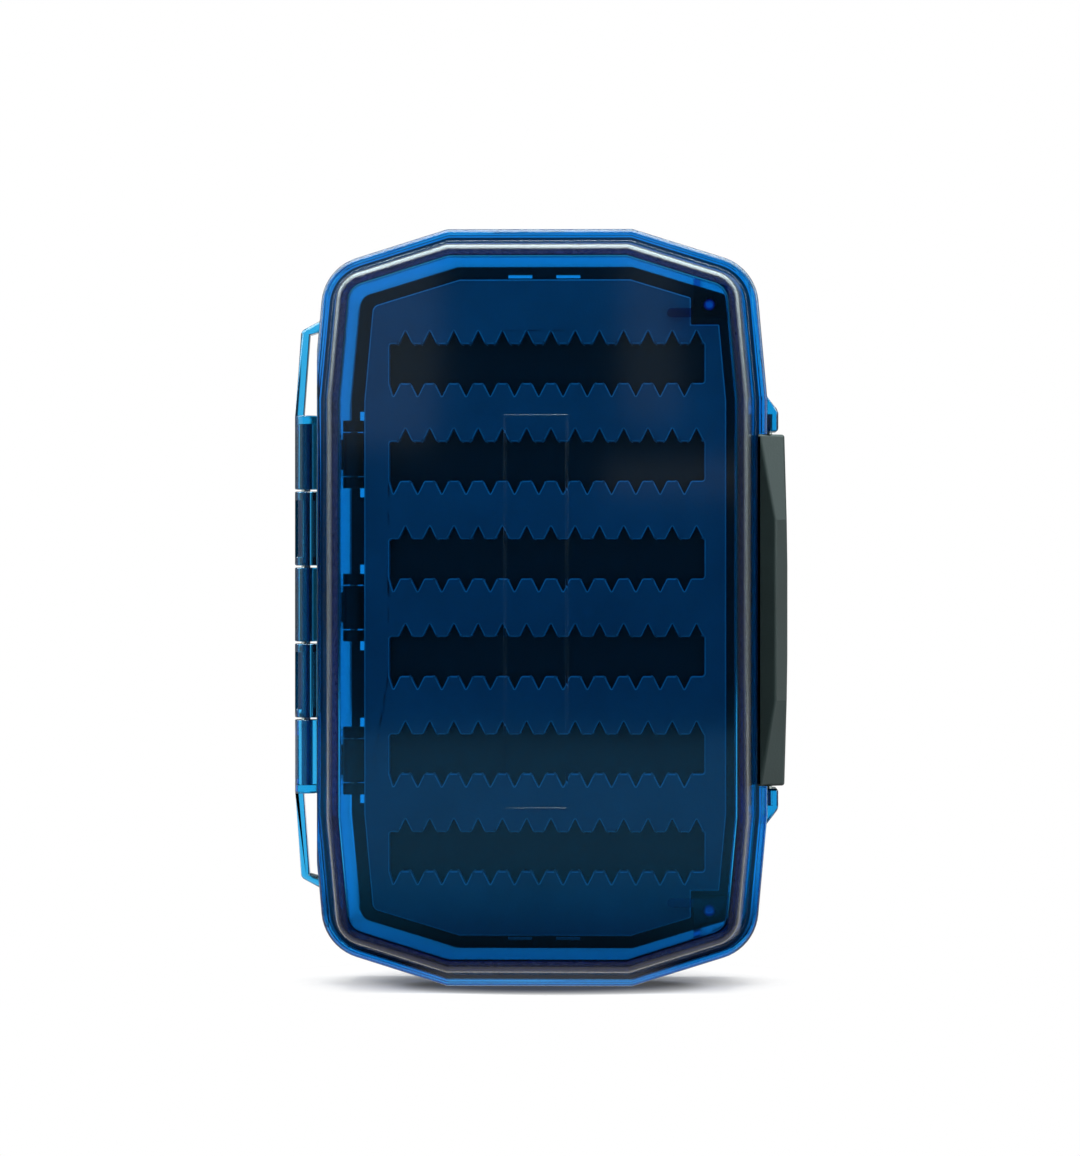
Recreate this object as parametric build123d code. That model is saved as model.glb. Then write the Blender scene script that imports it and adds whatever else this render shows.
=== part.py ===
from build123d import *
import os
from math import cos, hypot, radians, sin, tan

# A hard-shell fly box: a lid and a base with a gasket between them, a pinned hinge down the left
# side, a swinging latch down the right side, and a swing leaf inside that carries comb-edged
# inserts on both faces. It is modelled lying on its back: X runs from the hinge to the latch,
# Y up the case and Z out through the lid. The parting plane is Z = 0 and the case's middle is
# X = Y = 0. The last step stands it upright on its lower end.
# All sizes are in millimetres and degrees.

# Case outline on the parting plane: flat ends, sloping shoulders, sides that widen to the waist
case_height = 151.0
case_width = 90.8
end_flat = 37.0
shoulder_drop = 7.7
shoulder_inset = 2.4
side_taper = 34.0
corner_radius = 10.0
least_corner = 1.6

# Shells
wall = 2.3
draft = 6.5
lid_depth = 20.0
base_depth = 20.0
face_round = 1.3
flange_width = 2.0
lid_flange = 3.2
base_flange = 4.4
flange_bevel = 0.5
parting_gap = 0.12
root = 0.5

# Rim seal, seated in the base and standing proud into a wider groove in the lid
gasket_inset = 2.3
gasket_width = 1.4
gasket_seat = 1.4
gasket_proud = 0.45
gasket_side_gap = 0.05
lid_groove_gap = 0.3

# Lid hinge: knuckles in turn on the base and the lid, round one steel pin outside the case's side
hinge_out = 1.5
hinge_middle = 0.6
knuckle_count = 5
knuckle_length = 14.8
knuckle_gap = 0.4
knuckle_radius = 2.2
hinge_pin_radius = 0.9
hinge_side_gap = 0.2
knuckle_window = (1.0, 11.2)
window_turn = 35.0

# Lanyard loops above and below the hinge
loop_bar = 1.7
loop_depth = 4.0
loop_rise = 17.0
loop_lean = 1.2
loop_shoulder = 2.4

# Latch between two ears of the base. Its pivot, back and ears lie outside the case's side.
latch_length = 70.0
latch_middle = -0.5
latch_pivot_out = 0.4
latch_pivot_z = -7.0
latch_barrel_radius = 2.2
latch_heel_turn = 37.0
latch_pin_radius = 0.75
latch_gap = 0.3
latch_lip = 1.8
latch_reach = 2.0
latch_back_out = 4.1
latch_bow = 0.7
latch_facet = 2.3
latch_end_facet = 4.9
latch_end_run = 17.0
facet_slope = 2.0
ear_length = 7.0
ear_slope = 2.9
ear_gap = 0.7
ear_out = 2.25
ear_pin_depth = 3.6

# Fits of every pin: tight in the piece that holds it, free in the piece that turns
tight_fit = 0.01
running_fit = 0.05

# Swing leaf and its three hinges. The hinge axis is set from the case's side.
leaf_margin = 7.5
leaf_shift = 1.15
leaf_widening = 0.85
leaf_thickness = 2.0
leaf_axis_inset = 8.2
leaf_knuckle_radius = 2.2
leaf_knuckle_length = 2.2
leaf_knuckle_gap = 0.25
leaf_pin_radius = 0.75
bracket_pitch = 30.6
bracket_length = 8.6
bracket_gap = 0.3
bracket_stem = 2.5
bracket_neck = 2.0
bracket_lug = (6.0, 3.4)
seat_rib = (1.0, 4.0)
seat_gap = 0.1
leaf_window = (1.3, 1.8)
leaf_slot = (4.8, 0.7)
leaf_slot_x = (-3.9, 5.7)
leaf_slot_edge = 1.9

# Comb inserts. The rows of troughs are spread between margins from the case's ends and sides.
insert_margin = 2.8
insert_thickness = 4.5
trough_count = 6
trough_end = 27.0
trough_side = 14.07
trough_height = 7.8
trough_shift = 0.35
tooth_count = 13
notch_depth = 2.7
notch_mouth = 2.7
upper_notch_start = 0.67
lower_notch_start = 0.17

# Corner catches on the leaf, and the posts and ribs of the base that they drop over. The notch in
# the inserts' corners and the post are set from the case's side and end.
notch_inset = (15.3, 19.3)
post_inset = (11.6, 15.2)
post_radius = 1.8
post_pin_radius = 0.55
rib_width = 1.4
rib_gap = 0.6
catch_edge = 2.7
leaf_rest_gap = 0.3
catch_pad = 1.5
finger_width = 1.8
finger_reach = 5.3
finger_thickness = 1.2
finger_gap = 0.3
eyelet_bore = 0.7
eyelet_wall = 0.35
eyelet_head = (1.6, 0.6)

# Raised frame of the bare label panel on the lid
panel_size = (12.6, 77.4)
panel_middle = (-0.3, -0.8)
panel_line = 0.5
panel_raise = 0.3

# Where the pieces meet
slope = tan(radians(draft))
half_width = case_width / 2
half_height = case_height / 2
inner_inset = flange_width + wall
base_floor = wall - base_depth
hinge_x = -half_width - hinge_out
hinge_trim_x = hinge_x + knuckle_radius + hinge_side_gap
hinge_length = knuckle_count * knuckle_length + (knuckle_count - 1) * knuckle_gap
latch_pivot_x = half_width + latch_pivot_out
latch_outer_x = half_width + latch_back_out
latch_front = lid_flange + latch_gap + latch_lip
leaf_axis_x = leaf_axis_inset - half_width
leaf_half = leaf_thickness / 2
leaf_rest_z = -leaf_half - leaf_rest_gap
insert_inset = leaf_margin + insert_margin
trough_pitch = 2 * (half_height - trough_end) / (trough_count - 1)
tooth_pitch = 2 * (half_width - trough_side) / tooth_count
bracket_places = [-bracket_pitch, 0.0, bracket_pitch]
bracket_foot_x = -half_width + inner_inset - base_floor * slope + bracket_gap
corner_notch = (half_width - notch_inset[0], half_height - notch_inset[1])
post_x = half_width - post_inset[0]
post_y = half_height - post_inset[1]
catch_left = corner_notch[0] + rib_gap
catch_low = post_y - catch_edge
eyelet_radius = eyelet_bore + eyelet_wall
eyelet_top = leaf_half + catch_pad + eyelet_head[1]


def inset_corners(corners, inset):
    """Corners of an anticlockwise outline once every side has moved inwards by inset."""
    moved = []
    for before, here, after in zip(corners[-1:] + corners, corners, corners[1:] + corners[:1]):
        normals = []
        for start, end in ((before, here), (here, after)):
            run, rise = end[0] - start[0], end[1] - start[1]
            normals.append((-rise / hypot(run, rise), run / hypot(run, rise)))
        (ax, ay), (bx, by) = normals
        share = inset / (1 + ax * bx + ay * by)
        moved.append((here[0] + (ax + bx) * share, here[1] + (ay + by) * share))
    return moved


def case_face(inset, shift=0.0, widening=0.0):
    """The case's outline, its sides moved out by widening, then all moved inwards by inset."""
    side = half_width + widening
    upper = [
        (side, half_height - side_taper),
        (side - shoulder_inset, half_height - shoulder_drop),
        (end_flat / 2, half_height),
    ]
    upper += [(-x, y) for x, y in reversed(upper)]
    corners = upper + [(-x, -y) for x, y in upper]
    moved = inset_corners(corners, inset)
    face = make_face(Polyline(*moved, close=True))
    shoulders = [face.vertices().sort_by_distance(moved[i])[0] for i in (1, 4, 7, 10)]
    return Pos(shift, 0) * fillet(shoulders, max(corner_radius - inset, least_corner))


def leaf_face(inset):
    """The outline of what swings on the leaf: set to the right, its sides kept close to the wall."""
    return case_face(inset, leaf_shift, leaf_widening)


def side_x(y):
    """How far the case's side lies from the middle at a height y, short of its round corners."""
    beyond = max(abs(y) - half_height + side_taper, 0)
    return half_width - shoulder_inset * beyond / (side_taper - shoulder_drop)


def slab(face, low, high, taper=0.0):
    """A flat outline made solid from Z = low to Z = high."""
    return Pos(0, 0, low) * extrude(face, high - low, dir=(0, 0, 1), taper=taper)


def ring(near, far, low, high):
    """A band that follows the rim between two insets, from Z = low to Z = high."""
    return slab(case_face(near) - case_face(far), low, high)


def rod(radius, length, x, y, z=0.0):
    """A cylinder along Y, its middle at x, y, z."""
    return Pos(x, y, z) * Rot(90, 0, 0) * Cylinder(radius, length)


def block(x, y, z):
    """A box from three (low, high) pairs."""
    size = [high - low for low, high in (x, y, z)]
    middle = [(high + low) / 2 for low, high in (x, y, z)]
    return Pos(*middle) * Box(*size)


def tray(depth, flange):
    """One drafted, flanged half of the case, open at Z = 0 and trimmed beside the hinge."""
    body = slab(case_face(flange_width), 0, depth, draft)
    body = fillet(body.faces().sort_by(Axis.Z)[-1].edges(), face_round)
    rim = slab(case_face(0), 0, flange)
    rim = chamfer(rim.faces().sort_by(Axis.Z)[-1].edges(), flange_bevel)
    cavity = slab(case_face(inner_inset), 0, depth - wall, draft)
    trim = block((2 * hinge_x, hinge_trim_x), (-case_height, case_height), (-depth, 2 * depth))
    return body + rim - cavity - trim


def knuckle_places():
    first = hinge_middle - (hinge_length - knuckle_length) / 2
    return [first + i * (knuckle_length + knuckle_gap) for i in range(knuckle_count)]


def knuckle(y):
    """A hinge barrel and the web that ties it to the flange above Z = 0."""
    length = (y - knuckle_length / 2, y + knuckle_length / 2)
    web = block((hinge_x, hinge_trim_x + root), length, (parting_gap, knuckle_radius))
    return rod(knuckle_radius, knuckle_length, hinge_x, y) + web


def lid_shell():
    groove = gasket_width / 2 + lid_groove_gap
    groove_depth = gasket_proud + lid_groove_gap
    body = tray(lid_depth, lid_flange)
    body -= ring(gasket_inset - groove, gasket_inset + groove, 0, groove_depth)
    bore = hinge_pin_radius + running_fit
    for y in knuckle_places()[1::2]:
        body += knuckle(y)
        body -= rod(bore, 2 * knuckle_length, hinge_x, y)
        window = Box(2 * knuckle_radius, knuckle_window[1], knuckle_window[0])
        body -= Pos(hinge_x, y) * Rot(0, window_turn, 0) * Pos(-knuckle_radius, 0) * window
    frame = Rectangle(*panel_size) - Rectangle(*[side - 2 * panel_line for side in panel_size])
    return body + Pos(*panel_middle) * slab(frame, lid_depth, lid_depth + panel_raise)


def lanyard_loop():
    """The loop above the hinge: a leaning bar and a sloping arm back to the rim."""
    foot = hinge_middle + hinge_length / 2
    outer_x = hinge_x - knuckle_radius
    tip = foot + loop_rise + loop_shoulder
    tip_x = root - side_x(tip)
    outer = Polygon(
        (outer_x, foot - loop_bar),
        (outer_x, foot),
        (outer_x + loop_lean, foot + loop_rise),
        (tip_x, tip),
        (tip_x, tip - loop_bar - loop_shoulder),
        (tip_x, foot - loop_bar),
        align=None,
    )
    eye = Polygon(
        (outer_x + loop_bar, foot),
        (outer_x + loop_bar + loop_lean, foot + loop_rise - loop_bar / 2),
        (tip_x, foot + loop_rise),
        (tip_x, foot),
        align=None,
    )
    return slab(outer - eye, -loop_depth, -parting_gap)


def latch_ear():
    """The ear above the latch, which holds one end of its pin and grows out of the drafted wall."""
    near = latch_middle + latch_length / 2 + ear_gap
    outer_x = half_width + ear_out
    low = latch_pivot_z - (outer_x - latch_pivot_x)
    root_x = half_width - (inner_inset + flange_width - low * slope) / 2
    plan = Polygon(
        (root_x, near),
        (outer_x, near),
        (outer_x, near + ear_length - ear_slope),
        (half_width, near + ear_length),
        (root_x, near + ear_length),
        align=None,
    )
    pin_hole = rod(latch_pin_radius + tight_fit, 2 * ear_pin_depth, latch_pivot_x, near, latch_pivot_z)
    return slab(plan, low, -parting_gap) - pin_hole


def peg(radius, length, low):
    """An upright cylinder at the post's place, its foot at Z = low."""
    stand = Cylinder(radius, length, align=(Align.CENTER, Align.CENTER, Align.MIN))
    return Pos(post_x, post_y, low) * stand


def corner_post():
    """The post in the upper right corner, its pin, and the two ribs that stay it to the walls."""
    inside = slab(case_face(flange_width + root), 0, base_depth - root, draft)
    rise = (base_floor - root, leaf_rest_z)
    ribs = block((catch_left, catch_left + rib_width), (catch_low, case_height), rise)
    ribs += block((catch_left, case_width), (catch_low, catch_low + rib_width), rise)
    ribs = ribs & mirror(inside, Plane.XY)
    post = peg(post_radius, rise[1] - rise[0], rise[0])
    return ribs + post + peg(post_pin_radius, eyelet_top - parting_gap - leaf_rest_z, leaf_rest_z)


def both_ends(piece):
    return piece + mirror(piece, Plane.XZ)


def base_shell():
    groove = gasket_width / 2 + gasket_side_gap
    body = mirror(tray(base_depth, base_flange), Plane.XY)
    bore = hinge_pin_radius + tight_fit
    for y in knuckle_places()[::2]:
        body += mirror(knuckle(y), Plane.XY)
    loop = lanyard_loop()
    hinge_plane = Plane.XZ.offset(-hinge_middle)
    body += loop + mirror(loop, hinge_plane)
    body -= rod(bore, hinge_length - 2 * loop_bar, hinge_x, hinge_middle)
    ear = latch_ear()
    body += ear + mirror(ear, Plane.XZ.offset(-latch_middle))
    body += both_ends(corner_post())
    body += bracket_seats()
    body -= ring(gasket_inset - groove, gasket_inset + groove, -gasket_seat, parting_gap)
    return body


def rim_gasket():
    half = gasket_width / 2
    return ring(gasket_inset - half, gasket_inset + half, -gasket_seat, gasket_proud)


def hinge_pin():
    length = hinge_length - 2 * loop_bar - 2 * tight_fit
    return rod(hinge_pin_radius, length, hinge_x, hinge_middle)


def facet_plane(start, end):
    """The plane of one front facet, from its front edge's size at one height to that at another."""
    edge = []
    for y, size in (start, end):
        bowed = latch_bow * (2 * (y - latch_middle) / latch_length) ** 2
        edge.append(Vector(latch_outer_x - bowed - size, y, latch_front))
    along = edge[1] - edge[0]
    return Plane(edge[0], x_dir=along, z_dir=Vector(1, 0, -facet_slope).cross(along))


def latch():
    """A hooked bar that turns on its barrel, with three facets along its outer front edge."""
    low = latch_middle - latch_length / 2
    high = latch_middle + latch_length / 2
    inner_x = half_width + latch_gap
    heel = radians(latch_heel_turn)
    section = Polygon(
        (half_width - latch_reach, lid_flange + latch_gap),
        (inner_x, lid_flange + latch_gap),
        (inner_x, latch_pivot_z + latch_barrel_radius),
        (latch_pivot_x, latch_pivot_z),
        (
            latch_pivot_x + latch_barrel_radius * cos(heel),
            latch_pivot_z - latch_barrel_radius * sin(heel),
        ),
        (latch_outer_x, latch_pivot_z + latch_barrel_radius),
        (latch_outer_x, latch_front),
        (half_width - latch_reach, latch_front),
        align=None,
    )
    section += Pos(latch_pivot_x, latch_pivot_z) * Circle(latch_barrel_radius)
    section -= Pos(latch_pivot_x, latch_pivot_z) * Circle(latch_pin_radius + running_fit)
    bar = Pos(0, high) * extrude(Plane.XZ * section, latch_length)
    bow = ThreePointArc(
        (latch_outer_x - latch_bow, low),
        (latch_outer_x, latch_middle),
        (latch_outer_x - latch_bow, high),
    )
    plan = make_face(bow + Polyline(bow @ 1, (0, high), (0, low), bow @ 0))
    bar = bar & slab(plan, -base_depth, lid_depth)
    facets = [
        (low, latch_end_facet),
        (low + latch_end_run, latch_facet),
        (high - latch_end_run, latch_facet),
        (high, latch_end_facet),
    ]
    for start, end in zip(facets, facets[1:]):
        bar = split(bar, facet_plane(start, end), keep=Keep.BOTTOM)
    return bar


def latch_pin():
    length = latch_length + 2 * (ear_gap + ear_pin_depth - tight_fit)
    return rod(latch_pin_radius, length, latch_pivot_x, latch_middle, latch_pivot_z)


def corner_area():
    """The upper right corner of the leaf that the catch covers."""
    size = (case_width - catch_left, case_height - catch_low)
    return Pos(catch_left, catch_low) * Rectangle(*size, align=(Align.MIN, Align.MIN))


def leaf_plate():
    plate = slab(leaf_face(leaf_margin), -leaf_half, leaf_half)
    notch_x = leaf_axis_x + leaf_knuckle_radius + bracket_gap
    notch_half = bracket_length / 2 + leaf_knuckle_gap
    through = (-leaf_thickness, leaf_thickness)
    window_x = notch_x - leaf_window[0]
    for y in bracket_places:
        plate -= block((-half_width, notch_x), (y - notch_half, y + notch_half), through)
        for side in (-1, 1):
            end_y = y + side * (notch_half + leaf_knuckle_length / 2)
            plate += rod(leaf_knuckle_radius, leaf_knuckle_length, leaf_axis_x, end_y)
            window = (
                window_x + leaf_window[0] / 2,
                y + side * (notch_half + leaf_knuckle_length + leaf_window[1] / 2),
            )
            plate -= Pos(*window) * Box(*leaf_window, 2 * leaf_thickness)
        long_bore = 2 * (notch_half + leaf_knuckle_length)
        plate -= rod(leaf_pin_radius + tight_fit, long_bore, leaf_axis_x, y)
    slot_y = half_height - leaf_margin - leaf_slot_edge
    for x in leaf_slot_x:
        for y in (-slot_y, slot_y):
            plate -= Pos(x, y) * Box(*leaf_slot, 2 * leaf_thickness)
    for y in (-post_y, post_y):
        plate -= Pos(post_x, y) * Cylinder(eyelet_radius + tight_fit, 2 * leaf_thickness)
    return plate


def leaf_pin(y):
    length = bracket_length + 2 * (leaf_knuckle_gap + leaf_knuckle_length)
    return rod(leaf_pin_radius, length, leaf_axis_x, y)


def leaf_bracket(y):
    """A bearing ring on a stem that stands on the base's floor, close to the drafted wall."""
    stem = Polygon(
        (leaf_axis_x - leaf_knuckle_radius, 0),
        (bracket_foot_x, base_floor),
        (bracket_foot_x + bracket_stem, base_floor),
        (leaf_axis_x + bracket_neck, 0),
        align=None,
    )
    lug_low = -bracket_lug[1] - wall
    lug_x = -half_width + inner_inset - lug_low * slope + bracket_gap / 2
    lug_length = (y - bracket_lug[0] / 2, y + bracket_lug[0] / 2)
    lug = block((lug_x, leaf_axis_x), lug_length, (lug_low, lug_low + bracket_lug[1]))
    section = stem + Circle(leaf_knuckle_radius).moved(Location((leaf_axis_x, 0)))
    bracket = Pos(0, y + bracket_length / 2) * extrude(Plane.XZ * section, bracket_length)
    return bracket + lug - rod(leaf_pin_radius + running_fit, 2 * bracket_length, leaf_axis_x, y)


def bracket_seats():
    """Pairs of guide ribs on the base's floor that hold the feet of the leaf's brackets."""
    span = (bracket_foot_x - bracket_gap - root, bracket_foot_x + bracket_stem)
    rise = (base_floor - root, base_floor + seat_rib[1])
    start = bracket_length / 2 + seat_gap
    ribs = Part()
    for y in bracket_places:
        for low in (y - start - seat_rib[0], y + start):
            ribs += block(span, (low, low + seat_rib[0]), rise)
    return ribs


def comb_edge(edge_y, outward, first_notch):
    """Points along one edge of a trough, left to right: one V notch in each pitch."""
    width = tooth_count * tooth_pitch
    left = leaf_shift + trough_shift - width / 2
    lip = [
        (-notch_mouth / 2, 0),
        (0, notch_depth),
        (notch_mouth / 2, 0),
    ]
    points = []
    for i in range(tooth_count):
        tip = (i + first_notch) * tooth_pitch
        for across, deep in lip:
            x = min(max(tip + across, 0), width)
            points.append((left + x, edge_y + outward * deep))
    if first_notch * tooth_pitch > notch_mouth / 2:
        points.insert(0, (left, edge_y))
    if (tooth_count - 1 + first_notch) * tooth_pitch + notch_mouth / 2 < width:
        points.append((left + width, edge_y))
    return points


def trough(y):
    """The outline of one trough: teeth stand in from both long edges, half a pitch apart."""
    upper = comb_edge(y + trough_height / 2, 1, upper_notch_start)
    lower = comb_edge(y - trough_height / 2, -1, lower_notch_start)
    return Polygon(*upper, *reversed(lower), align=None)


def comb_insert(low):
    """An insert with rows of toothed troughs, its back face at Z = low."""
    face = leaf_face(insert_inset)
    corner = Pos(*corner_notch) * Rectangle(case_width, case_height, align=(Align.MIN, Align.MIN))
    face -= corner + mirror(corner, Plane.XZ)
    for row in range(trough_count):
        face -= trough((row - (trough_count - 1) / 2) * trough_pitch)
    return slab(face, low, low + insert_thickness)


def corner_catch():
    """The upper catch: a pad on the leaf's corner and a finger that reaches over the insert."""
    pad = leaf_face(leaf_margin) & corner_area()
    catch = slab(pad, leaf_half, leaf_half + catch_pad)
    finger_low = leaf_half + insert_thickness + finger_gap
    finger_top = finger_low + finger_thickness
    finger_y = (catch_low, catch_low + finger_width)
    right = post_x + eyelet_head[0]
    catch += block((catch_left, right), finger_y, (leaf_half, finger_top))
    arm = SlotOverall(right - catch_left + finger_reach, finger_width)
    arm_middle = ((right + catch_left - finger_reach) / 2, catch_low + finger_width / 2)
    catch += Pos(*arm_middle) * slab(arm, finger_low, finger_top)
    catch -= peg(eyelet_radius + tight_fit, 2 * leaf_thickness, 0)
    return catch - peg(eyelet_head[0] + tight_fit, finger_top, leaf_half + catch_pad)


def catch_eyelet():
    """The tubular rivet that holds the upper catch and sockets the post's pin."""
    tube_length = leaf_thickness + catch_pad
    tube = peg(eyelet_radius, tube_length, -leaf_half)
    tube += peg(eyelet_head[0], eyelet_head[1], tube_length - leaf_half)
    return tube - peg(eyelet_bore, 2 * tube_length, -leaf_thickness)


def place(piece):
    """Stand a piece upright on the case's lower end, with the lid towards -Y."""
    return Pos(0, 0, half_height) * Rot(90, 0, 0) * piece


def lower(piece):
    return mirror(piece, Plane.XZ)


pieces = {
    "lid_shell": lid_shell(),
    "base_shell": base_shell(),
    "rim_gasket": rim_gasket(),
    "hinge_pin": hinge_pin(),
    "latch": latch(),
    "latch_pin": latch_pin(),
    "leaf_plate": leaf_plate(),
    "leaf_front_insert": comb_insert(leaf_half),
    "leaf_rear_insert": comb_insert(-leaf_half - insert_thickness),
    "base_insert": comb_insert(base_floor),
    "upper_catch": corner_catch(),
    "lower_catch": lower(corner_catch()),
    "upper_catch_eyelet": catch_eyelet(),
    "lower_catch_eyelet": lower(catch_eyelet()),
}
for name, y in zip(("lower", "middle", "upper"), bracket_places):
    pieces[f"{name}_leaf_bracket"] = leaf_bracket(y)
    pieces[f"{name}_leaf_pin"] = leaf_pin(y)

os.makedirs("parts", exist_ok=True)
for name, piece in pieces.items():
    export_step(place(piece), f"parts/{name}.step")
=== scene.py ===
from math import radians
import bmesh
import bpy
from mathutils import Matrix, Vector


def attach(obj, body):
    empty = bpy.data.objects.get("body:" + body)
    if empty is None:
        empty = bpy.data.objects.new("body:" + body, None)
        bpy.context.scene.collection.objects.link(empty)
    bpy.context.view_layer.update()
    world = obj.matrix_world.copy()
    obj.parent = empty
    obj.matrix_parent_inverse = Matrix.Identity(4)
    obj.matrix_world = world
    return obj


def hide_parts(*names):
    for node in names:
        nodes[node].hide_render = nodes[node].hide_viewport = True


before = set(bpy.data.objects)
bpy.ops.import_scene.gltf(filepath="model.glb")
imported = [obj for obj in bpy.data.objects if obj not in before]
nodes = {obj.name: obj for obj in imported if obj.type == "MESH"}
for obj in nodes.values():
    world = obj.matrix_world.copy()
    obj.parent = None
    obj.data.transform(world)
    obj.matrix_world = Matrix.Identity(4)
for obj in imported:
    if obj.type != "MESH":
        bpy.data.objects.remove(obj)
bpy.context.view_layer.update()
print("frame loaded:", len(nodes), "solids")

caseMiddle = 75.5  # height of the case's middle, in millimetres
hingeSide = -44.55  # the hinge's knuckles and the lanyard loops lie left of this, in millimetres
weld = 1e-6  # points nearer to each other than this, in metres, are one point
white = (1.0, 1.0, 1.0, 1.0)


# One socket of a material's nodes. Sums on it are written as Python.
class Wire:
    def __init__(self, finish, socket):
        self.finish = finish
        self.socket = socket

    def maths(self, operation, *others):
        sockets = dict(enumerate((self, *others)))
        return self.finish.add("Math", {"operation": operation}, sockets)

    def __add__(self, other):
        return self.maths("ADD", other)

    def __sub__(self, other):
        return self.maths("SUBTRACT", other)

    def __rsub__(self, other):
        return (self * -1).maths("ADD", other)

    def __mul__(self, other):
        return self.maths("MULTIPLY", other)

    def __truediv__(self, other):
        return self.maths("DIVIDE", other)

    def __gt__(self, other):
        return self.maths("GREATER_THAN", other)


# A material, the world or a node tree, whose nodes are added one by one.
class Finish:
    def __init__(self, name, owner=None):
        self.owner = owner or bpy.data.materials.new(name)
        if isinstance(self.owner, bpy.types.NodeTree):
            self.tree = self.owner
        else:
            self.owner.use_nodes = True
            self.tree = self.owner.node_tree
        self.tree.nodes.clear()

    def add(self, kind, settings=None, sockets=None, out=0):
        node = self.tree.nodes.new(kind if kind.startswith("Geometry") else "ShaderNode" + kind)
        for key, value in (settings or {}).items():
            if key == "stops":
                self.setStops(node.color_ramp.elements, value)
            else:
                setattr(node, key, value)
        for key, value in (sockets or {}).items():
            if isinstance(value, Wire):
                self.tree.links.new(value.socket, node.inputs[key])
            else:
                node.inputs[key].default_value = value
        return Wire(self, node.outputs[out])

    def setStops(self, elements, stops):
        while len(elements) < len(stops):
            elements.new(1.0)
        for element, (place, shade) in zip(elements, stops):
            shade = shade if isinstance(shade, tuple) else (shade,) * 3
            element.position = place
            element.color = (*shade, 1.0)

    def place(self, scale=(1.0, 1.0, 1.0)):
        spot = self.add("TexCoord", out="Object")
        return self.add("Mapping", {}, {"Vector": spot, "Scale": scale})

    def noise(self, scale, detail, rough=0.55):
        sockets = {"Vector": self.place(), "Scale": scale, "Detail": detail, "Roughness": rough}
        return self.add("TexNoise", {}, sockets, "Fac")

    def ramp(self, value, *stops):
        return self.add("ValToRGB", {"stops": stops}, {"Fac": value}, "Color")

    # 0 before start, 1 past end and a soft step between them
    def ease(self, value, start, end):
        sockets = {"Value": value, "From Min": start, "From Max": end}
        return self.add("MapRange", {"interpolation_type": "SMOOTHSTEP"}, sockets, "Result")

    # how far a spot on the floor is from middle, where 1 is the edge of an oval of that reach
    def oval(self, spot, middle, reach):
        away = self.add("VectorMath", {"operation": "SUBTRACT"}, {0: spot, 1: (*middle, 0.0)})
        away = self.add("VectorMath", {"operation": "DIVIDE"}, {0: away, 1: (*reach, 1.0)})
        return self.add("VectorMath", {"operation": "LENGTH"}, {0: away}, "Value")

    def bump(self, height, strength, depth):
        sockets = {"Height": height, "Strength": strength, "Distance": depth}
        return self.add("Bump", {}, sockets, "Normal")

    # outputs of the Light Path node, which tell one kind of ray from another
    def rays(self, *kinds):
        path = self.tree.nodes.new("ShaderNodeLightPath")
        return [Wire(self, path.outputs[kind]) for kind in kinds]

    def join(self, *parts):
        node = self.tree.nodes.new("GeometryNodeJoinGeometry")
        for part in parts:
            self.tree.links.new(part.socket, node.inputs[0])
        return Wire(self, node.outputs[0])

    def finish(self, surface, volume=None):
        links = {"Surface": surface}
        if volume:
            links["Volume"] = volume
        out = self.tree.nodes.new("ShaderNodeOutputMaterial")
        for key, value in links.items():
            self.tree.links.new(value.socket, out.inputs[key])
        return self.owner


# skin colours the clear plastic's surface, tint and tintDensity the light that goes through it, and
# lampTint the light of the lamps. rim is the satin sheen on the round of the face, which starts, is
# full, ends and is gone at rimInset, in millimetres in from the outline. outer is the flange's.
clearShell = dict(
    skin=(0.165, 0.60, 0.98),
    tint=(0.0, 0.80, 0.90),
    tintDensity=407.0,
    lampTint=(0.13, 0.47, 0.62),
    index=1.55,
    roughness=0.03,
    scuffs=900.0,
    scuffRoughness=0.03,
    scuffWear=0.4,
    rim=1.0,
    rimRoughness=0.5,
    rimIndex=1.7,
    rimBlur=0.04,
    rimInset=(6.5, 6.0, 3.9, 3.2),
    outer=0.12,
    outerInset=2.2,
    ripples=28.0,
    rippleStrength=0.04,
    rippleDepth=0.0004,
    outline=dict(side=45.4, end=75.5, taper=(1.0, 0.0913, 49.19), shoulder=(0.2998, 0.954, 77.57)),
)
catchShell = dict(clearShell, skin=(0.06, 0.4, 0.75), tintDensity=1470.0, lampTint=(0.05, 0.42, 0.78))


# How far a point lies outside the case's outline in millimetres, less than 0 inside it.
def outsideOutline(f, outline):
    spot = f.add("TexCoord", out="Object")
    across = f.add("SeparateXYZ", {}, {0: spot}, "X").maths("ABSOLUTE") * 1000
    along = (f.add("SeparateXYZ", {}, {0: spot}, "Z") * 1000 - caseMiddle).maths("ABSOLUTE")
    beyond = (across - outline["side"]).maths("MAXIMUM", along - outline["end"])
    for acrossShare, alongShare, reach in (outline["taper"], outline["shoulder"]):
        beyond = beyond.maths("MAXIMUM", across * acrossShare + along * alongShare - reach)
    return beyond


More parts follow.
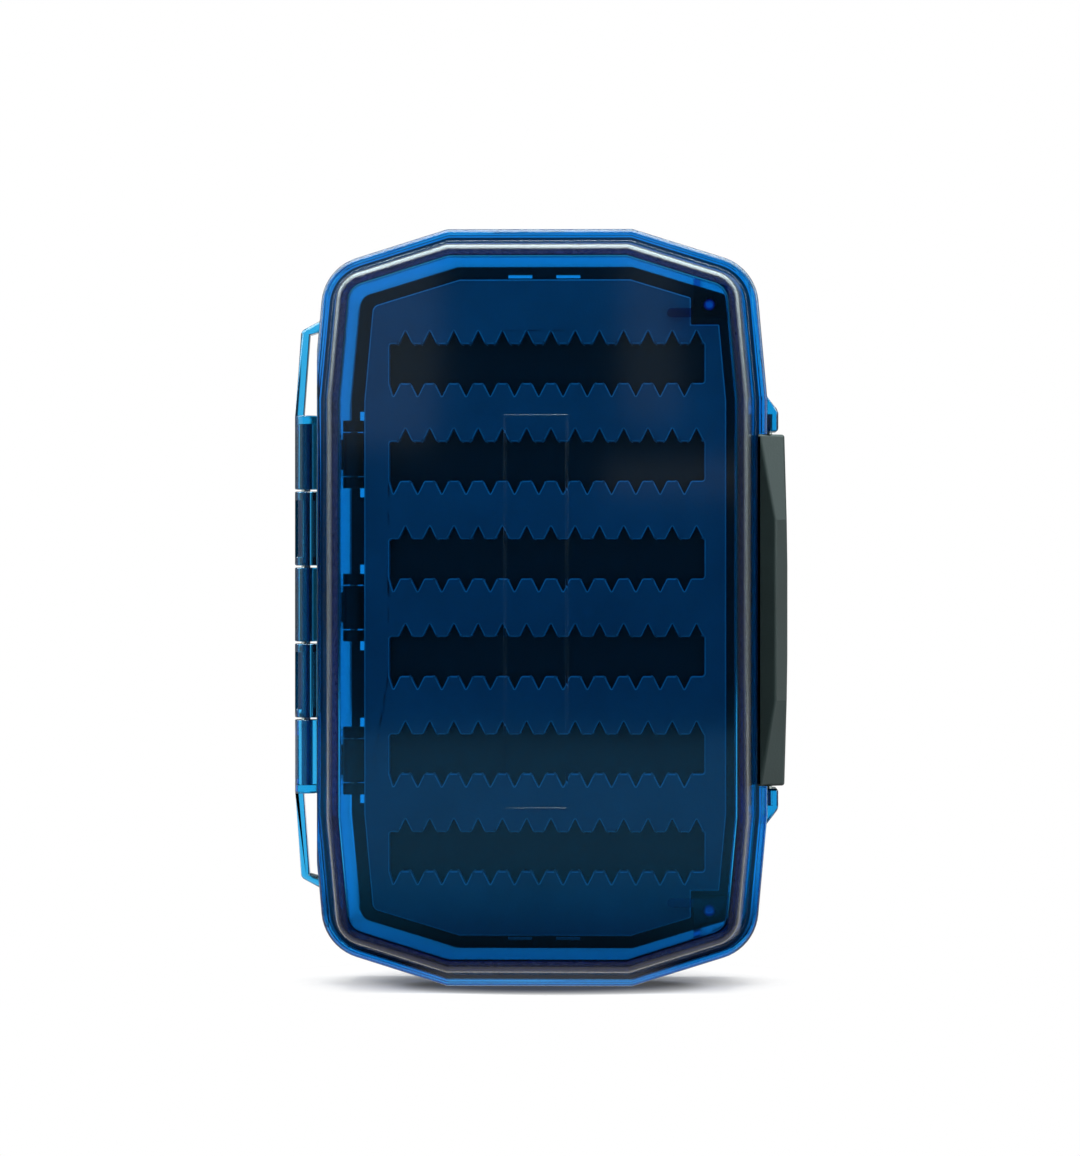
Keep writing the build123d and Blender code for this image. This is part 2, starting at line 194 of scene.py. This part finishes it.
def shellFinish(name, look):
    f = Finish(name)
    scuffs = f.noise(look["scuffs"], 2.0)
    ripple = f.noise(look["ripples"], 1.0)
    beyond = outsideOutline(f, look["outline"])
    start, full, ends, gone = look["rimInset"]
    edge = f.ease(beyond, -start, -full) * f.ease(beyond, -gone, -ends)
    flange = beyond > -look["outerInset"]
    worn = scuffs * look["scuffWear"] + (1 - look["scuffWear"])
    glass = f.add("BsdfPrincipled", {}, {
        "Base Color": (*look["skin"], 1.0),
        "Roughness": scuffs * look["scuffRoughness"] + edge * look["rimBlur"] + look["roughness"],
        "IOR": look["index"],
        "Transmission Weight": 1.0,
        "Coat Weight": (edge * look["rim"] + flange * look["outer"]) * worn,
        "Coat Roughness": look["rimRoughness"],
        "Coat IOR": look["rimIndex"],
        "Normal": f.bump(ripple, look["rippleStrength"], look["rippleDepth"]),
    }, "BSDF")
    lamp = f.add("BsdfTransparent", {}, {"Color": (*look["lampTint"], 1.0)})
    shadow = f.rays("Is Shadow Ray")[0]
    surface = f.add("MixShader", {}, {0: shadow, 1: glass, 2: lamp})
    tint = {"Color": (*look["tint"], 1.0), "Density": look["tintDensity"]}
    return f.finish(surface, f.add("VolumeAbsorption", {}, tint))


# Foam, opaque plastic and rubber: grain counts the grains in a metre, depth is theirs in metres.
plainFinishes = dict(
    insertGrey=dict(colour=(0.22, 0.22, 0.24), roughness=0.75, grain=2600.0, depth=0.00006, shine=0.5),
    # painted highlight: the rounded rims of the inserts get this lighter colour, standing for light on
    # their edges
    paintedHighlightRim=dict(colour=(0.55, 0.62, 0.66), roughness=0.6, grain=2600.0, depth=0.00002, shine=0.5),
    blackPlastic=dict(colour=(0.010, 0.010, 0.011), roughness=0.42, grain=1800.0, depth=0.00003, shine=0.5),
    gasketGrey=dict(colour=(0.20, 0.21, 0.215), roughness=0.6, grain=1500.0, depth=0.00003, shine=0.5),
    latchGrey=dict(colour=(0.0060, 0.0130, 0.0125), roughness=0.42, grain=2200.0, depth=0.00004, shine=0.3),
)
mottling = dict(scale=60.0, shades=(0.86, 1.14), reach=(0.3, 0.7), roughness=0.12, bump=0.5)
steelLook = dict(
    colour=(0.42, 0.42, 0.41), streaks=(900.0, 900.0, 12.0), roughness=0.18, spread=0.2,
    bump=0.2, depth=0.00002,
)


def plainFinish(name, look):
    f = Finish(name)
    mottle = f.noise(mottling["scale"], 4.0)
    grain = f.noise(look["grain"], 2.0)
    shades = [tuple(c * k for c in look["colour"]) for k in mottling["shades"]]
    roughness = look["roughness"] - mottling["roughness"] / 2
    surface = f.add("BsdfPrincipled", {}, {
        "Base Color": f.ramp(mottle, *zip(mottling["reach"], shades)),
        "Roughness": mottle * mottling["roughness"] + roughness,
        "Specular IOR Level": look["shine"],
        "Normal": f.bump(grain, mottling["bump"], look["depth"]),
    }, "BSDF")
    return f.finish(surface)


def steelFinish(name, look):
    f = Finish(name)
    stretched = {"Vector": f.place(look["streaks"]), "Scale": 1.0, "Detail": 3.0}
    streaks = f.add("TexNoise", {}, stretched, "Fac")
    surface = f.add("BsdfPrincipled", {}, {
        "Base Color": (*look["colour"], 1.0),
        "Metallic": 1.0,
        "Roughness": streaks * look["spread"] + look["roughness"],
        "Normal": f.bump(streaks, look["bump"], look["depth"]),
    }, "BSDF")
    return f.finish(surface)


finishes = {name: plainFinish(name, look) for name, look in plainFinishes.items()}
finishes["clearBlue"] = shellFinish("clearBlue", clearShell)
finishes["darkBlue"] = shellFinish("darkBlue", catchShell)
finishes["steel"] = steelFinish("steel", steelLook)
slotFinish = dict(
    insert_grey="insertGrey", clear_blue="clearBlue", steel="steel", latch_grey="latchGrey",
    black_plastic="blackPlastic", dark_blue="darkBlue", gasket_grey="gasketGrey",
)
for node in nodes.values():
    for slot in node.material_slots:
        slot.material = finishes[slotFinish[slot.material.name]]
print("finishes made:", ", ".join(sorted(finishes)))


def newObject(name, data):
    made = bpy.data.objects.new(name, data)
    bpy.context.scene.collection.objects.link(made)
    return made


# Works a piece's modifiers into its mesh.
def settle(piece):
    graph = bpy.context.evaluated_depsgraph_get()
    mesh = bpy.data.meshes.new_from_object(piece.evaluated_get(graph))
    piece.modifiers.clear()
    piece.data = mesh
    return mesh


# Normals that keep wide faces flat and turn smoothly over the narrow strips between them. wide is
# an area in square metres, share how large a face is beside its widest neighbour to count as wide,
# and sharp the cosine of the bend past which neighbours aren't smoothed together.
def evenNormals(mesh, wide, sharp=0.8, share=0.2):
    for face in mesh.polygons:
        face.use_smooth = True
    around = {}
    for face in mesh.polygons:
        for vert in face.vertices:
            around.setdefault(vert, []).append((face.area, face.normal.copy()))
    normals = []
    for face in mesh.polygons:
        for vert in face.vertices:
            near = [(area, normal) for area, normal in around[vert] if normal.dot(face.normal) > sharp]
            total = Vector()
            for area, normal in near:
                total += normal * area
            widest = max(area for area, normal in near)
            flat = face.area > share * widest and face.area > wide
            normals.append(face.normal if flat else total.normalized())
    mesh.normals_split_custom_set(normals)


# The comb inserts, in metres: rows of troughs whose long edges are cut into teeth. Starts are where
# the first notch stands, in tooth pitches. trim is the rounding of teeth and rims, and the gap that
# keeps an insert's back off the clear wall it is bonded to, so that light meets one at a time.
combLook = dict(
    rows=6, rowPitch=0.0194, teeth=13, toothPitch=0.00482, middle=0.0015, troughHeight=0.0078,
    notchDepth=0.0027, notchMouth=0.0027, upperStart=0.67, lowerStart=0.17,
    shoulderRound=0.00055, tipRound=0.00012,
    trim=dict(roundSteps=4, rimRound=0.00022, rimSteps=2, rimAngle=60, wideFace=2e-6, wallGap=0.00004),
)


# One long edge of a trough: three points to each notch and one at each end. side is 1 or -1.
def combEdge(g, value, side, start):
    width = value["teeth"] * value["toothPitch"]
    last = value["teeth"] * 3 + 1
    line = g.add("GeometryNodeMeshLine", {}, {"Count": last + 1})
    index = g.add("GeometryNodeInputIndex")
    step = index - 1
    notch = (step / 3).maths("FLOOR")
    place = step - notch * 3 - 1
    x = (notch + value[start]) * value["toothPitch"] + place * value["notchMouth"] * 0.5
    first = 1 - (index > 0.5)
    final = index > (last - 0.5)
    x = x * (1 - first) * (1 - final) + width * final
    x = x.maths("MINIMUM", width).maths("MAXIMUM", 0.0)
    deep = (1 - place.maths("ABSOLUTE")) * value["notchDepth"] * (1 - first) * (1 - final)
    y = (value["troughHeight"] * 0.5 + deep) * side
    spot = g.add("CombineXYZ", {}, {"X": x - width * 0.5 + value["middle"], "Y": y})
    return g.add("GeometryNodeSetPosition", {}, {"Geometry": line, "Position": spot})


def troughEnd(g, value, at):
    width = value["teeth"] * value["toothPitch"]
    x = value["middle"] + width * (at - 0.5)
    top = g.add("CombineXYZ", {}, {"X": x, "Y": value["troughHeight"] * 0.5})
    low = g.add("CombineXYZ", {}, {"X": x, "Y": value["troughHeight"] * -0.5})
    sockets = {"Count": 2, "Start Location": top, "Offset": low}
    return g.add("GeometryNodeMeshLine", {"mode": "END_POINTS"}, sockets)


# The closed outline of a trough, its shoulders and the tips of its notches rounded.
def troughLoop(g, value):
    edges = [combEdge(g, value, 1, "upperStart"), combEdge(g, value, -1, "lowerStart")]
    lines = g.join(*edges, troughEnd(g, value, 0), troughEnd(g, value, 1))
    loop = g.add("GeometryNodeMergeByDistance", {}, {"Geometry": lines, "Distance": weld * 10})
    loop = g.add("GeometryNodeMeshToCurve", {}, {"Mesh": loop})
    height = g.add("SeparateXYZ", {}, {0: g.add("GeometryNodeInputPosition")}, "Y").maths("ABSOLUTE")
    isTip = height > (value["troughHeight"] * 0.5 + value["notchDepth"] * 0.5)
    turn = value["shoulderRound"] + isTip * (value["tipRound"] - value["shoulderRound"])
    sockets = {"Curve": loop, "Count": combLook["trim"]["roundSteps"], "Radius": turn, "Limit Radius": True}
    return g.add("GeometryNodeFilletCurve", {"mode": "POLY"}, sockets)


# A node tree that cuts the troughs into a plate, from the plate's outline in the XY plane.
def combTree():
    tree = bpy.data.node_groups.new("combInsert", "GeometryNodeTree")
    g = Finish("combInsert", tree)
    numbers = [key for key in combLook if key != "trim"] + ["thickness"]
    tree.interface.new_socket("outline", in_out="INPUT", socket_type="NodeSocketGeometry")
    for key in numbers:
        kind = "NodeSocketInt" if key in ("rows", "teeth") else "NodeSocketFloat"
        tree.interface.new_socket(key, in_out="INPUT", socket_type=kind)
    tree.interface.new_socket("material", in_out="INPUT", socket_type="NodeSocketMaterial")
    tree.interface.new_socket("insert", in_out="OUTPUT", socket_type="NodeSocketGeometry")
    given = tree.nodes.new("NodeGroupInput")
    value = {key: Wire(g, given.outputs[key]) for key in ["outline", *numbers, "material"]}

    loop = troughLoop(g, value)
    span = (value["rows"] - 1) * value["rowPitch"]
    start = g.add("CombineXYZ", {}, {"Y": span * -0.5})
    step = g.add("CombineXYZ", {}, {"Y": value["rowPitch"]})
    sockets = {"Count": value["rows"], "Start Location": start, "Offset": step}
    rows = g.add("GeometryNodeMeshLine", {}, sockets)
    troughs = g.add("GeometryNodeInstanceOnPoints", {}, {"Points": rows, "Instance": loop})
    troughs = g.add("GeometryNodeRealizeInstances", {}, {"Geometry": troughs})
    plate = g.join(g.add("GeometryNodeMeshToCurve", {}, {"Mesh": value["outline"]}), troughs)
    flat = g.add("GeometryNodeFillCurve", {"mode": "TRIANGLES"}, {"Curve": plate})
    sockets = {"Mesh": flat, "Offset": (0, 0, 1), "Offset Scale": value["thickness"], "Individual": False}
    raised = g.add("GeometryNodeExtrudeMesh", {"mode": "FACES"}, sockets)
    back = g.add("GeometryNodeFlipFaces", {}, {"Mesh": flat})
    sockets = {"Geometry": g.join(raised, back), "Distance": weld * 2}
    solid = g.add("GeometryNodeMergeByDistance", {}, sockets)
    solid = g.add("GeometryNodeRealizeInstances", {}, {"Geometry": solid})
    sockets = {"Geometry": solid, "Material": value["material"]}
    solid = g.add("GeometryNodeSetMaterial", {}, sockets)
    out = tree.nodes.new("NodeGroupOutput")
    tree.links.new(solid.socket, out.inputs[0])
    return tree


# The outer outline of a CAD insert, laid in the XY plane, and its lowest and highest Y.
def plateOutline(name):
    shape = bmesh.new()
    shape.from_mesh(nodes[name].data)
    shape.transform(nodes[name].matrix_world)
    bmesh.ops.remove_doubles(shape, verts=shape.verts, dist=weld)
    depths = [vert.co.y for vert in shape.verts]
    front, back = min(depths), max(depths)
    rims = [
        edge for edge in shape.edges if all(abs(vert.co.y - front) < weld for vert in edge.verts)
        and any(abs(face.normal.y) < 0.1 for face in edge.link_faces)  # a side wall, square to Y
    ]
    corner = min((vert for edge in rims for vert in edge.verts), key=lambda vert: vert.co.x)
    loop = [corner]
    while True:
        ahead = [edge.other_vert(loop[-1]) for edge in loop[-1].link_edges if edge in rims]
        ahead = [vert for vert in ahead if vert not in loop]
        if not ahead:
            break
        loop.append(ahead[0])
    places = [(vert.co.x, vert.co.z - caseMiddle / 1000, 0) for vert in loop]
    shape.free()
    mesh = bpy.data.meshes.new(name + "Outline")
    mesh.from_pydata(places, [(i, (i + 1) % len(places)) for i in range(len(places))], [])
    return mesh, front, back


def combInsert(name, tree, body, gap=0.0):
    trim = combLook["trim"]
    outline, front, back = plateOutline(name)
    back -= gap
    piece = newObject(name + "Comb", outline)
    comb = piece.modifiers.new("comb", "NODES")
    comb.node_group = tree
    values = dict(combLook, thickness=back - front, material=finishes["insertGrey"])
    for item in tree.interface.items_tree:
        if item.in_out == "INPUT" and item.name in values:
            comb[item.identifier] = values[item.name]
    # the bevelled rims take the lighter painted-highlight finish
    outline.materials.append(finishes["paintedHighlightRim"])
    rim = piece.modifiers.new("rim", "BEVEL")
    rim.limit_method = "ANGLE"
    rim.angle_limit = radians(trim["rimAngle"])
    rim.width = trim["rimRound"]
    rim.segments = trim["rimSteps"]
    rim.use_clamp_overlap = False
    rim.material = 0
    mesh = settle(piece)
    mesh.materials[0] = finishes["paintedHighlightRim"]
    upright = Matrix.Rotation(radians(90), 4, "X")
    mesh.transform(Matrix.Translation((0, back, caseMiddle / 1000)) @ upright)
    evenNormals(mesh, trim["wideFace"])
    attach(piece, body)
    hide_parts(name)
    print("comb insert", name, len(mesh.polygons), "faces", [round(v * 1000, 2) for v in (front, back)])


tree = combTree()
combInsert("leaf_front_insert", tree, "leaf")
combInsert("leaf_rear_insert", tree, "leaf")
combInsert("base_insert", tree, "base", combLook["trim"]["wallGap"])


# Rounded copies of the moulded pieces, in millimetres. A look says how far each kind of edge is
# rounded, and the places below it where those edges lie. Turns are the least bend that is rounded.
lidLook = dict(wallRoot=0.1, flange=0.3, inner=0.55, barrel=0.25, panel=0.08)
lidPlaces = dict(
    face=-20.25, inner=-17.7, flange=-3.2, lip=-2.7, partingSide=42.8, partingEnd=67, partingTurn=1.2,
)
baseLook = dict(wallRoot=0.1, flange=0.3, inner=0.55, barrel=0.25, loop=0.7, ear=0.6)
basePlaces = dict(
    inner=17.7, innerSide=36, innerEnd=66, flange=4.4, lip=3.9, ear=45.45, earTurn=0.3,
    hingeMiddle=76.1, loopStart=37.85, loopTurn=0.2,
)
latchLook = dict(edge=0.5, endDepth=-1.9, turn=0.35)
wideFace = 6e-5  # the least area of a face that stays flat, in square metres


def isAt(y, place, slack=0.03):
    return abs(y - place) < slack


# How far an edge is rounded, from its middle point, how much it turns (less than 0 in an inner
# corner) and the axis that it stands square to, "y", "z" or "".
def lidRounding(x, y, z, turn, square):
    look, place = lidLook, lidPlaces
    if y < place["face"]:
        return look["panel"]
    if square and isAt(y, place["inner"], 0.05) and turn < 0:
        return look["inner"]
    if x < hingeSide:
        return look["barrel"] if square == "z" and turn > 0 else 0
    if square != "y":
        return 0
    if isAt(y, place["flange"]):
        return look["wallRoot"] if turn < 0 else look["flange"]
    outside = abs(x) > place["partingSide"] or abs(z - caseMiddle) > place["partingEnd"]
    if isAt(y, place["lip"]) or (isAt(y, 0, 0.01) and turn > place["partingTurn"] and outside):
        return look["flange"]
    return 0


def baseRounding(x, y, z, turn, square):
    look, place = baseLook, basePlaces
    if x > place["ear"]:
        return look["ear"] if turn > place["earTurn"] else 0
    if x < hingeSide:
        if abs(z - place["hingeMiddle"]) > place["loopStart"]:
            return look["loop"] if turn > place["loopTurn"] else 0
        return look["barrel"] if square == "z" and turn > 0 else 0
    if square != "y":
        return 0
    outside = abs(x) > place["innerSide"] or abs(z - caseMiddle) > place["innerEnd"]
    if isAt(y, place["inner"], 0.05) and turn < 0 and outside:
        return look["inner"]
    if isAt(y, place["flange"]):
        return look["wallRoot"] if turn < 0 else look["flange"]
    return look["flange"] if isAt(y, place["lip"]) else 0


def latchRounding(x, y, z, turn, square):
    return latchLook["edge"] if turn > latchLook["turn"] else 0


# Turns neighbouring faces that lie in one plane into one face.
def mergeFlat(shape):
    bmesh.ops.dissolve_limit(shape, angle_limit=radians(1), verts=shape.verts, edges=shape.edges)


# Fills the slot where the latch's end facets cut into it, and lets those facets lie flatter. Only
# such a facet has seven corners and a slope toward the end.
def closeLatchEnds(shape):
    facets = [face for face in shape.faces if len(face.verts) == 7 and abs(face.normal.z) > 0.1]
    for facet in facets:
        heights = [vert.co.z for vert in facet.verts]
        end = max(heights, key=lambda z: abs(z - caseMiddle / 1000))
        atEnd = [vert for vert in facet.verts if abs(vert.co.z - end) < weld]
        inward = [vert for vert in facet.verts if vert not in atEnd]
        front, ceiling, inner, outer = sorted(atEnd, key=lambda vert: vert.co.y)
        corner, side, edge = sorted(inward, key=lambda vert: vert.co.x)
        if side.co.y > edge.co.y:
            side, edge = edge, side
        shape.faces.remove(facet)
        outer.co.y = latchLook["endDepth"] / 1000
        inner.co.y = ceiling.co.y
        shape.faces.new((front, side, edge, outer))
        shape.faces.new((front, ceiling, inner, outer))
        shape.faces.new((ceiling, corner, inner))
    bmesh.ops.recalc_face_normals(shape, faces=shape.faces)
    mergeFlat(shape)


# The axis that an edge stands square to. Round the hinge, Z comes before Y.
def squareTo(along, middle, slack=0.02):
    if abs(along.z) < slack and middle.x < hingeSide:
        return "z"
    if abs(along.y) < slack:
        return "y"
    return "z" if abs(along.z) < slack else ""


def rounded(name, rounding, body, segments=4, mend=None):
    mesh = nodes[name].data.copy()
    mesh.transform(nodes[name].matrix_world)
    shape = bmesh.new()
    shape.from_mesh(mesh)
    bmesh.ops.remove_doubles(shape, verts=shape.verts, dist=weld)
    mergeFlat(shape)
    if mend:
        mend(shape)
    weights = shape.edges.layers.float.new("bevel_weight_edge")
    widths = {}
    for edge in shape.edges:
        start, end = (vert.co * 1000 for vert in edge.verts)
        middle = (start + end) / 2
        square = squareTo((end - start).normalized(), middle)
        if len(edge.link_faces) == 2:
            width = rounding(*middle, edge.calc_face_angle_signed(), square)
            if width:
                widths[edge] = width
    largest = max(widths.values())
    for edge, width in widths.items():
        edge[weights] = width / largest
    shape.to_mesh(mesh)
    shape.free()
    piece = newObject(name + "Rounded", mesh)
    bevel = piece.modifiers.new("rounding", "BEVEL")
    bevel.limit_method = "WEIGHT"
    bevel.width = largest / 1000
    bevel.segments = segments
    bevel.use_clamp_overlap = False
    bevel.miter_outer = "MITER_SHARP"
    mesh = settle(piece)
    evenNormals(mesh, wideFace)
    mesh.materials.clear()
    mesh.materials.append(nodes[name].material_slots[0].material)
    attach(piece, body)
    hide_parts(name)
    print("rounded", name, len(widths), "edges,", len(mesh.polygons), "faces")


rounded("lid_shell", lidRounding, "lid")
rounded("base_shell", baseRounding, "base")
rounded("latch", latchRounding, "latch", 3, closeLatchEnds)


# Camera, in metres: frameHeight is what it shows from top to bottom at its distance.
view = dict(distance=0.9, across=0.0225, height=0.0814, frameHeight=0.2312, sensor=36.0)

# Floor: past fade, in reaches of shadow from its middle, the paper turns to plain white. contact
# is a painted shadow, which darkens the paper under the case. through is how far away the floor
# turns from black to bright when seen through the case, a painted shade near the case. mirror is a
# painted reflection, a glow that only the case's shine shows: soft steps along Y with their
# strengths, in front, far in front and behind, on top of mirrorRest.
stand = dict(
    size=3.0, albedo=0.86, shadow=(0.045, 0.036), middle=(0.0, 0.012), fade=(0.6, 1.3), glow=0.05,
    paintedContactShadow=dict(middle=(0.0025, -0.004), reach=(0.034, 0.021), fade=(1.0, 0.75), depth=0.72),
    through=(0.08, 0.35),
    mirror=((-0.06, -0.02, 0.8), (-0.25, -0.5, 0.07), (0.0, 0.05, 0.12)), mirrorRest=0.02,
)

# Room: tent is the reflected light by height, flank what the sides add, and front and rear replace
# both toward the camera and away from it. backdrop is the white seen straight through the case,
# beside what is seen past it, inside what lights the case's inside, and outside all the rest.
room = dict(
    scale=10.0, tent=((0.0, 0.08), (0.4, 0.15), (0.85, 1.0)),
    flank=0.5, flankSide=(0.7, 0.92), flankRise=(0.0, 0.2), tint=(0.82, 0.97, 0.96),
    front=0.012, frontEdge=(0.95, 0.75), rear=0.25, rearEdge=(-0.6, -0.2), cardEdge=0.8,
    beside=(0.08, 0.5), backdrop=(-0.88, -0.985), inside=0.8, insideFront=0.2, outside=0.6,
)

# Soft reflections on the face: where they lie across and up, as slopes from the case.
cards = (
    dict(across=(-0.11, -0.048), up=(0.03, 0.075), soft=0.0006, glow=0.3),
    dict(across=(-0.006, 0.006), up=(0.035, 0.08), soft=0.002, glow=0.25),
    dict(across=(-0.011, 0.04), up=(0.019, 0.026), soft=0.002, glow=0.3),
)
lamps = dict(
    left=dict(spot=(-0.75, -0.55, 0.55), size=0.7, watts=3.0),
    right=dict(spot=(0.8, -0.35, 0.45), size=0.6, watts=2.2),
    top=dict(spot=(0.0, -0.1, 1.0), size=0.5, watts=12.0),
)
lampTarget = (0.0, 0.0, 0.075)


def aimAt(holder, target):
    holder.rotation_euler = (Vector(target) - holder.location).to_track_quat("-Z", "Y").to_euler()


def makeCamera():
    camera = newObject("camera", bpy.data.cameras.new("camera"))
    camera.location = (view["across"], -view["distance"], view["height"])
    aimAt(camera, (0, 0, view["height"]))
    camera.data.sensor_width = view["sensor"]
    camera.data.lens = view["sensor"] * view["distance"] / view["frameHeight"]
    bpy.context.scene.camera = camera


def makeFloor():
    f = Finish("floorWhite")
    camera, glossy, through = f.rays("Is Camera Ray", "Is Glossy Ray", "Is Transmission Ray")
    place = f.add("TexCoord", out="Object")
    # painted shadow: the paper's colour is darkened in an oval under the case
    paintedContactShadow = stand["paintedContactShadow"]
    paintedShadowAmount = f.ease(f.oval(place, paintedContactShadow["middle"], paintedContactShadow["reach"]), *paintedContactShadow["fade"])
    shade = f.ramp(paintedShadowAmount * paintedContactShadow["depth"], (0.0, stand["albedo"]), (1.0, 0.0))
    paper = f.add("BsdfDiffuse", {}, {"Color": shade})

    far = f.ease(f.oval(place, stand["middle"], stand["shadow"]), *stand["fade"])
    seen = camera * (far * (1 - stand["glow"]) + stand["glow"]) + through
    # painted shade: seen through the case, the floor is black near the case and turns white further away
    away = f.add("VectorMath", {"operation": "LENGTH"}, {0: place}, "Value")
    pastPaintedShade = f.ease(away, *stand["through"])
    glow = f.add("Emission", {}, {"Color": white, "Strength": 1 - through * (1 - pastPaintedShade)})
    shown = f.add("MixShader", {}, {0: seen, 1: paper, 2: glow})

    # painted reflection: to glossy rays the floor glows in soft steps along Y, strongest just in front of
    # the case
    depth = f.add("SeparateXYZ", {}, {0: place}, "Y")
    bands = [f.ease(depth, start, end) * share for start, end, share in stand["mirror"]]
    strength = bands[0] + bands[1] + bands[2] + stand["mirrorRest"]
    mirrored = f.add("Emission", {}, {"Color": white, "Strength": strength})
    shown = f.add("MixShader", {}, {0: glossy * (1 - through), 1: shown, 2: mirrored})
    half = stand["size"] / 2
    corners = [(-half, -half, 0), (half, -half, 0), (half, half, 0), (-half, half, 0)]
    mesh = bpy.data.meshes.new("floor")
    mesh.from_pydata(corners, [], [(0, 1, 2, 3)])
    mesh.materials.append(f.finish(shown))
    floor = newObject("floor", mesh)


def makeLamps():
    for name, lamp in lamps.items():
        light = bpy.data.lights.new(name, "AREA")
        light.shape = "SQUARE"
        light.size = lamp["size"]
        light.energy = lamp["watts"]
        holder = newObject(name + "Lamp", light)
        holder.location = lamp["spot"]
        aimAt(holder, lampTarget)
        holder.visible_camera = False
        holder.visible_transmission = False
        holder.visible_glossy = False


# The light that the case's shine shows, by direction.
def roomShine(f, toFront, side, rise):
    flank = f.ease(rise, *room["flankRise"]) * f.ease(side.maths("ABSOLUTE"), *room["flankSide"])
    tent = (f.ramp(rise, *room["tent"]) + flank * room["flank"]) * room["scale"]
    openFront = f.ease(toFront, *room["frontEdge"])
    around = f.ease(toFront, *room["rearEdge"]) * (tent - room["rear"]) + room["rear"]
    seen = openFront * around + room["front"]
    across = side / toFront
    up = rise / toFront
    for card in cards:
        strength = card["glow"]
        for value, (start, end) in ((across, card["across"]), (up, card["up"])):
            for edge, soft in ((start, card["soft"]), (end, -card["soft"])):
                strength = f.ease(value, edge - soft, edge + soft) * strength
        seen = seen + strength * (toFront > room["cardEdge"])
    return seen, openFront


def makeWorld():
    world = bpy.data.worlds.new("studio")
    bpy.context.scene.world = world
    f = Finish("studio", world)
    camera, shine, through, bounces = f.rays(
        "Is Camera Ray", "Is Glossy Ray", "Is Transmission Ray", "Diffuse Depth")
    glossy = shine * (1 - through)
    bounced = bounces > 0.5
    direction = f.add("TexCoord", out="Generated")
    facing = {0: direction, 1: (0.0, -1.0, 0.0)}
    toFront = f.add("VectorMath", {"operation": "DOT_PRODUCT"}, facing, "Value")
    rise = f.add("SeparateXYZ", {}, {0: direction}, "Z")
    side = f.add("SeparateXYZ", {}, {0: direction}, "X")
    seen, openFront = roomShine(f, toFront, side, rise)
    low, growth = room["beside"]
    beside = rise.maths("MAXIMUM", 0.0) * growth + low
    backdrop = beside + f.ease(toFront, *room["backdrop"]) * (1 - beside)
    inside = (openFront * (1 - room["insideFront"]) + room["insideFront"]) * room["inside"]
    clear = camera + through * (backdrop + bounced * (inside - backdrop))
    strength = clear + glossy * seen + (1 - camera - glossy - through) * room["outside"]
    sockets = {"Factor": glossy, 6: white, 7: (*room["tint"], 1.0)}
    shade = f.add("Mix", {"data_type": "RGBA"}, sockets, 2)
    back = f.add("Background", {}, {"Color": shade, "Strength": strength})
    out = f.tree.nodes.new("ShaderNodeOutputWorld")
    f.tree.links.new(back.socket, out.inputs["Surface"])


makeCamera()
makeFloor()
makeLamps()
makeWorld()
bpy.context.scene.view_settings.view_transform = "Standard"
print("camera, floor and light set")
